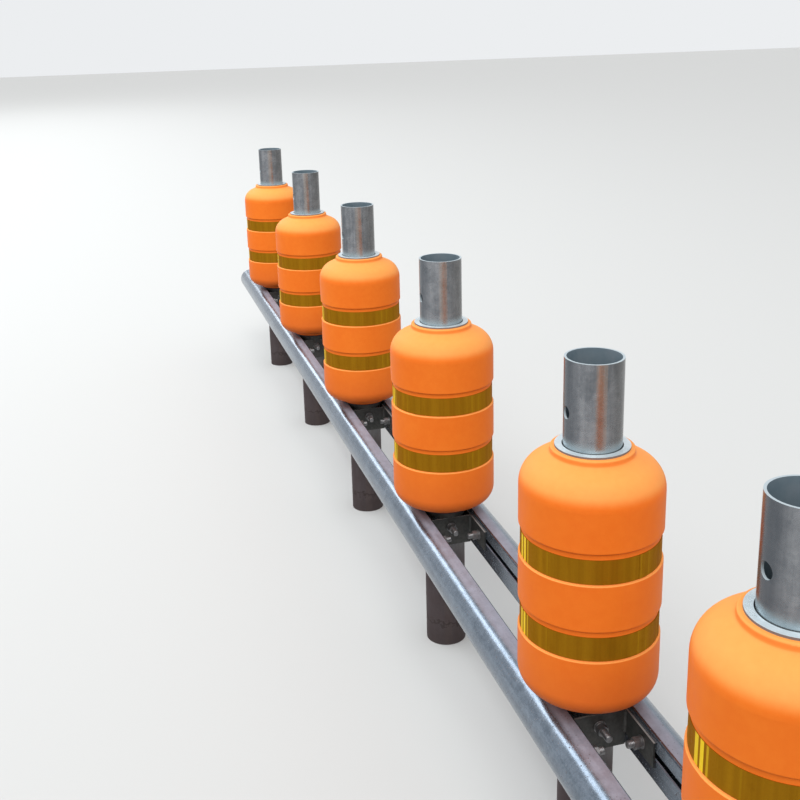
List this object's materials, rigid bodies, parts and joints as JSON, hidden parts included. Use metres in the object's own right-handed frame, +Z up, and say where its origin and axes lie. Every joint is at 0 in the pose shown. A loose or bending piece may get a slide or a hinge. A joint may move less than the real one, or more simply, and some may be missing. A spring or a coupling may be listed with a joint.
{
  "type": "roller guardrail section",
  "caption": "Row of open tube posts, each with a turning foam roller that has two reflective bands, standing between two slotted round-nosed steel rails.",
  "frame": {"origin": "in the wall of post_1's foot, at ground level, on the centre line of the row", "axes": "+X along the row towards the near end of the picture, -Y towards the road side that the picture is taken from, +Z up"},
  "size_m": [5.2861, 0.283, 1.14],
  "materials": {
    "post_steel": "galvanised, dull and mottled",
    "rail_steel": "galvanised, bright with a fine spangle",
    "bracket_steel": "galvanised, dull",
    "liner_steel": "galvanised, pale",
    "foam": "satin closed-cell foam",
    "reflective_band": "glossy retroreflective sheet"
  },
  "bodies": {
    "row": {"post_1": "post_steel", "post_2": "post_steel", "post_3": "post_steel", "post_4": "post_steel", "post_5": "post_steel", "post_6": "post_steel", "bracket_1": "bracket_steel", "bracket_2": "bracket_steel", "bracket_3": "bracket_steel", "bracket_4": "bracket_steel", "bracket_5": "bracket_steel", "bracket_6": "bracket_steel", "collar_1": "bracket_steel", "collar_2": "bracket_steel", "collar_3": "bracket_steel", "collar_4": "bracket_steel", "collar_5": "bracket_steel", "collar_6": "bracket_steel", "front_rail": "rail_steel", "rear_rail": "rail_steel"},
    "roller_1": {"barrel_1": "foam", "liner_1": "liner_steel", "bands_1": "reflective_band"},
    "roller_2": {"barrel_2": "foam", "liner_2": "liner_steel", "bands_2": "reflective_band"},
    "roller_3": {"barrel_3": "foam", "liner_3": "liner_steel", "bands_3": "reflective_band"},
    "roller_4": {"barrel_4": "foam", "liner_4": "liner_steel", "bands_4": "reflective_band"},
    "roller_5": {"barrel_5": "foam", "liner_5": "liner_steel", "bands_5": "reflective_band"},
    "roller_6": {"barrel_6": "foam", "liner_6": "liner_steel", "bands_6": "reflective_band"}
  },
  "joints": [
    {"name": "roller_1_spin", "type": "hinge", "parent": "row", "child": "roller_1", "pos_m": [0.05475, 0, 0.7], "axis": [0, 0, 1], "continuous": true},
    {"name": "roller_2_spin", "type": "hinge", "parent": "row", "child": "roller_2", "pos_m": [0.98475, 0, 0.7], "axis": [0, 0, 1], "continuous": true},
    {"name": "roller_3_spin", "type": "hinge", "parent": "row", "child": "roller_3", "pos_m": [1.91475, 0, 0.7], "axis": [0, 0, 1], "continuous": true},
    {"name": "roller_4_spin", "type": "hinge", "parent": "row", "child": "roller_4", "pos_m": [2.84475, 0, 0.7], "axis": [0, 0, 1], "continuous": true},
    {"name": "roller_5_spin", "type": "hinge", "parent": "row", "child": "roller_5", "pos_m": [3.77475, 0, 0.7], "axis": [0, 0, 1], "continuous": true},
    {"name": "roller_6_spin", "type": "hinge", "parent": "row", "child": "roller_6", "pos_m": [4.41075, 0, 0.7], "axis": [0, 0, 1], "continuous": true}
  ]
}
